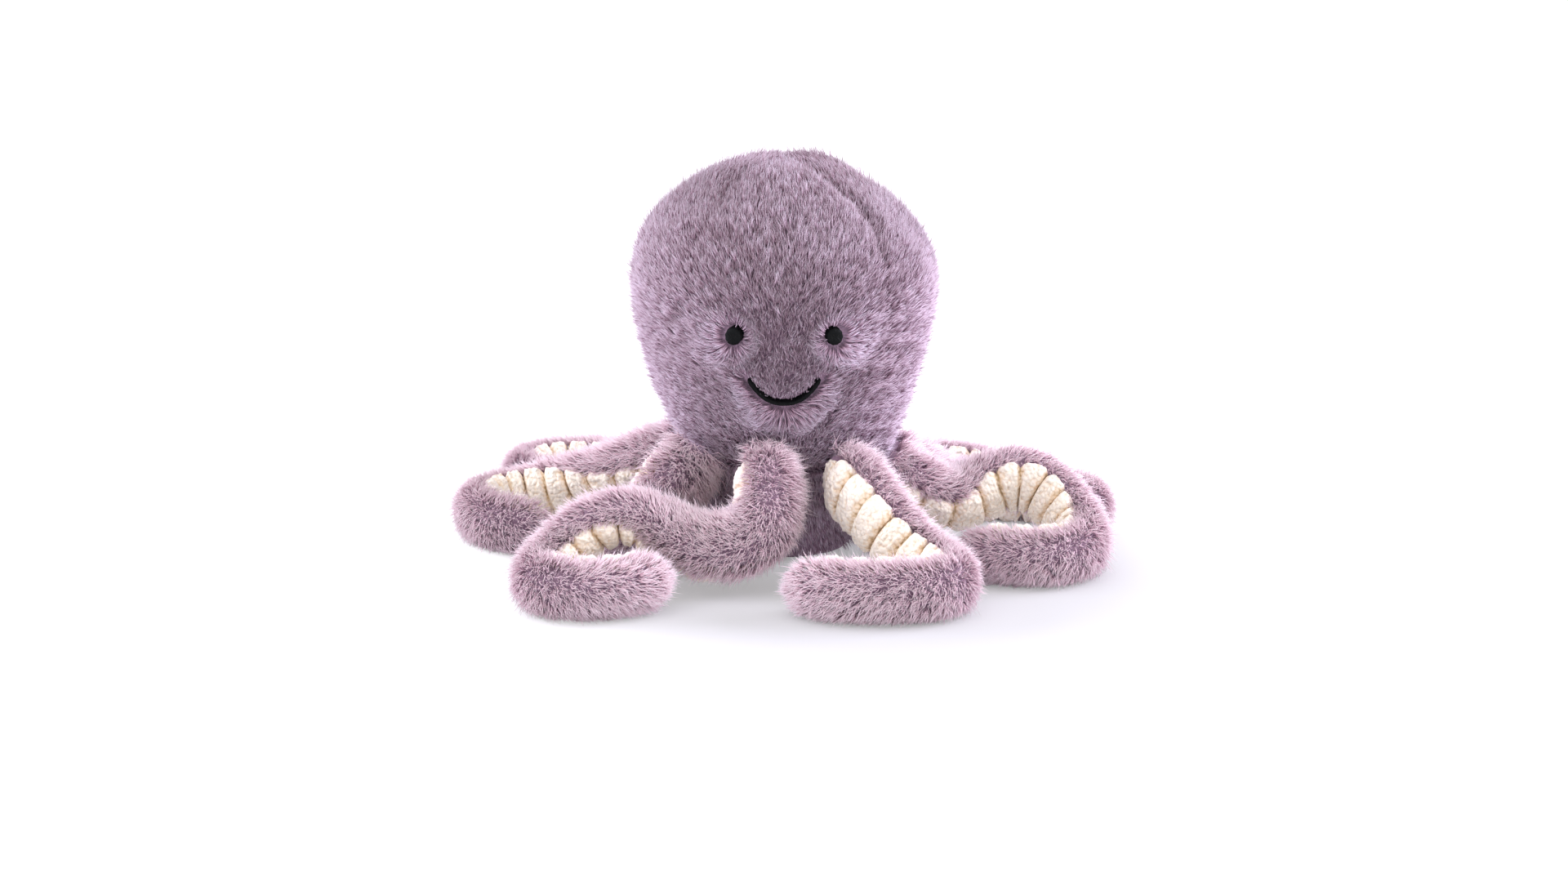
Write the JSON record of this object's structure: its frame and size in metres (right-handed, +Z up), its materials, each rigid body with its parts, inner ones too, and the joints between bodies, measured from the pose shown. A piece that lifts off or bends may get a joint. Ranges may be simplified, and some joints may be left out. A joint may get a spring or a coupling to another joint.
{
  "type": "plush octopus toy",
  "caption": "Plush octopus with a panelled stuffed head, an embroidered smiling face, a weighted base and curled fur arms lined with ribbed terry that swing at the body and bend part way along.",
  "frame": {"origin": "on the floor, at the centre of the flat foot under the body", "axes": "+Z is up, the face looks along -Y and the arms spread furthest along X"},
  "size_m": [0.2853, 0.219, 0.1689],
  "materials": {
    "mauve_plush": "short pile fur",
    "cream_terry": "ribbed terry",
    "white_fibre": "loose polyester fibre",
    "black_thread": "satin stitch",
    "bag_cotton": "plain woven cotton"
  },
  "bodies": {
    "body": {"base_panel": "mauve_plush", "head_back_left_panel": "mauve_plush", "head_back_right_panel": "mauve_plush", "head_front_panel": "mauve_plush", "head_left_panel": "mauve_plush", "head_right_panel": "mauve_plush", "head_stuffing": "white_fibre", "left_eye": "black_thread", "mouth": "black_thread", "pellet_bag": "bag_cotton", "right_eye": "black_thread"},
    "front_arm_inner": {"front_arm_inner_filling": "white_fibre", "front_arm_inner_fur": "mauve_plush", "front_arm_inner_terry": "cream_terry"},
    "front_arm_outer": {"front_arm_outer_filling": "white_fibre", "front_arm_outer_fur": "mauve_plush", "front_arm_outer_terry": "cream_terry"},
    "front_right_arm_inner": {"front_right_arm_inner_filling": "white_fibre", "front_right_arm_inner_fur": "mauve_plush", "front_right_arm_inner_terry": "cream_terry"},
    "front_right_arm_outer": {"front_right_arm_outer_filling": "white_fibre", "front_right_arm_outer_fur": "mauve_plush", "front_right_arm_outer_terry": "cream_terry"},
    "right_arm_inner": {"right_arm_inner_filling": "white_fibre", "right_arm_inner_fur": "mauve_plush", "right_arm_inner_terry": "cream_terry"},
    "right_arm_outer": {"right_arm_outer_filling": "white_fibre", "right_arm_outer_fur": "mauve_plush", "right_arm_outer_terry": "cream_terry"},
    "back_right_arm_inner": {"back_right_arm_inner_filling": "white_fibre", "back_right_arm_inner_fur": "mauve_plush", "back_right_arm_inner_terry": "cream_terry"},
    "back_right_arm_outer": {"back_right_arm_outer_filling": "white_fibre", "back_right_arm_outer_fur": "mauve_plush", "back_right_arm_outer_terry": "cream_terry"},
    "back_arm_inner": {"back_arm_inner_filling": "white_fibre", "back_arm_inner_fur": "mauve_plush", "back_arm_inner_terry": "cream_terry"},
    "back_arm_outer": {"back_arm_outer_filling": "white_fibre", "back_arm_outer_fur": "mauve_plush", "back_arm_outer_terry": "cream_terry"},
    "back_left_arm_inner": {"back_left_arm_inner_filling": "white_fibre", "back_left_arm_inner_fur": "mauve_plush", "back_left_arm_inner_terry": "cream_terry"},
    "back_left_arm_outer": {"back_left_arm_outer_filling": "white_fibre", "back_left_arm_outer_fur": "mauve_plush", "back_left_arm_outer_terry": "cream_terry"},
    "left_arm_inner": {"left_arm_inner_filling": "white_fibre", "left_arm_inner_fur": "mauve_plush", "left_arm_inner_terry": "cream_terry"},
    "left_arm_outer": {"left_arm_outer_filling": "white_fibre", "left_arm_outer_fur": "mauve_plush", "left_arm_outer_terry": "cream_terry"},
    "front_left_arm_inner": {"front_left_arm_inner_filling": "white_fibre", "front_left_arm_inner_fur": "mauve_plush", "front_left_arm_inner_terry": "cream_terry"},
    "front_left_arm_outer": {"front_left_arm_outer_filling": "white_fibre", "front_left_arm_outer_fur": "mauve_plush", "front_left_arm_outer_terry": "cream_terry"}
  },
  "joints": [
    {"name": "front_arm_lift", "type": "hinge", "parent": "body", "child": "front_arm_inner", "pos_m": [-0.00727, -0.05172, 0.04383], "axis": [-0.9903, 0.1392, 0], "range_deg": [-5, 35]},
    {"name": "front_arm_curl", "type": "hinge", "parent": "front_arm_inner", "child": "front_arm_outer", "pos_m": [-0.05666, -0.07607, 0.03142], "axis": [0.0066, -0.9998, 0.0203], "range_deg": [-20, 15]},
    {"name": "front_right_arm_lift", "type": "hinge", "parent": "body", "child": "front_right_arm_inner", "pos_m": [0.02608, -0.04518, 0.04114], "axis": [-0.866, -0.5, 0], "range_deg": [-8, 35]},
    {"name": "front_right_arm_curl", "type": "hinge", "parent": "front_right_arm_inner", "child": "front_right_arm_outer", "pos_m": [0.05404, -0.08062, 0.01756], "axis": [-0.3118, 0.3084, -0.8987], "range_deg": [-20, 15]},
    {"name": "right_arm_lift", "type": "hinge", "parent": "body", "child": "right_arm_inner", "pos_m": [0.0477, -0.01927, 0.03628], "axis": [-0.3746, -0.9272, 0], "range_deg": [-6, 35]},
    {"name": "right_arm_curl", "type": "hinge", "parent": "right_arm_inner", "child": "right_arm_outer", "pos_m": [0.12168, -0.03181, 0.01913], "axis": [-0.2291, 0.4696, -0.8526], "range_deg": [-20, 15]},
    {"name": "back_right_arm_lift", "type": "hinge", "parent": "body", "child": "back_right_arm_inner", "pos_m": [0.048, 0.01939, 0.03065], "axis": [0.3746, -0.9272, 0], "range_deg": [-6, 30]},
    {"name": "back_right_arm_curl", "type": "hinge", "parent": "back_right_arm_inner", "child": "back_right_arm_outer", "pos_m": [0.10067, 0.03773, 0.01245], "axis": [-0.0236, -0.1149, -0.9931], "range_deg": [-20, 9]},
    {"name": "back_arm_lift", "type": "hinge", "parent": "body", "child": "back_arm_inner", "pos_m": [0.02095, 0.04706, 0.02802], "axis": [0.9135, -0.4067, 0], "range_deg": [-6, 35]},
    {"name": "back_arm_curl", "type": "hinge", "parent": "back_arm_inner", "child": "back_arm_outer", "pos_m": [0.06188, 0.07807, 0.01254], "axis": [-0.0417, -0.0484, -0.998], "range_deg": [-20, 6]},
    {"name": "back_left_arm_lift", "type": "hinge", "parent": "body", "child": "back_left_arm_inner", "pos_m": [-0.02092, 0.047, 0.03025], "axis": [0.9135, 0.4067, 0], "range_deg": [-5, 35]},
    {"name": "back_left_arm_curl", "type": "hinge", "parent": "back_left_arm_inner", "child": "back_left_arm_outer", "pos_m": [-0.0809, 0.08102, 0.01247], "axis": [0.0143, 0.0892, 0.9959], "range_deg": [-15, 8]},
    {"name": "left_arm_lift", "type": "hinge", "parent": "body", "child": "left_arm_inner", "pos_m": [-0.0483, 0.01569, 0.03628], "axis": [0.309, 0.9511, 0], "range_deg": [-5, 20]},
    {"name": "left_arm_curl", "type": "hinge", "parent": "left_arm_inner", "child": "left_arm_outer", "pos_m": [-0.10355, 0.02637, 0.01565], "axis": [-0.2949, 0.0432, 0.9546], "range_deg": [-17, 1]},
    {"name": "front_left_arm_lift", "type": "hinge", "parent": "body", "child": "front_left_arm_inner", "pos_m": [-0.04004, -0.0336, 0.04293], "axis": [-0.6428, 0.766, 0], "range_deg": [-5, 8]},
    {"name": "front_left_arm_curl", "type": "hinge", "parent": "front_left_arm_inner", "child": "front_left_arm_outer", "pos_m": [-0.06022, -0.04756, 0.01843], "axis": [0.4925, 0.4187, -0.763], "range_deg": [-5, 15]}
  ]
}
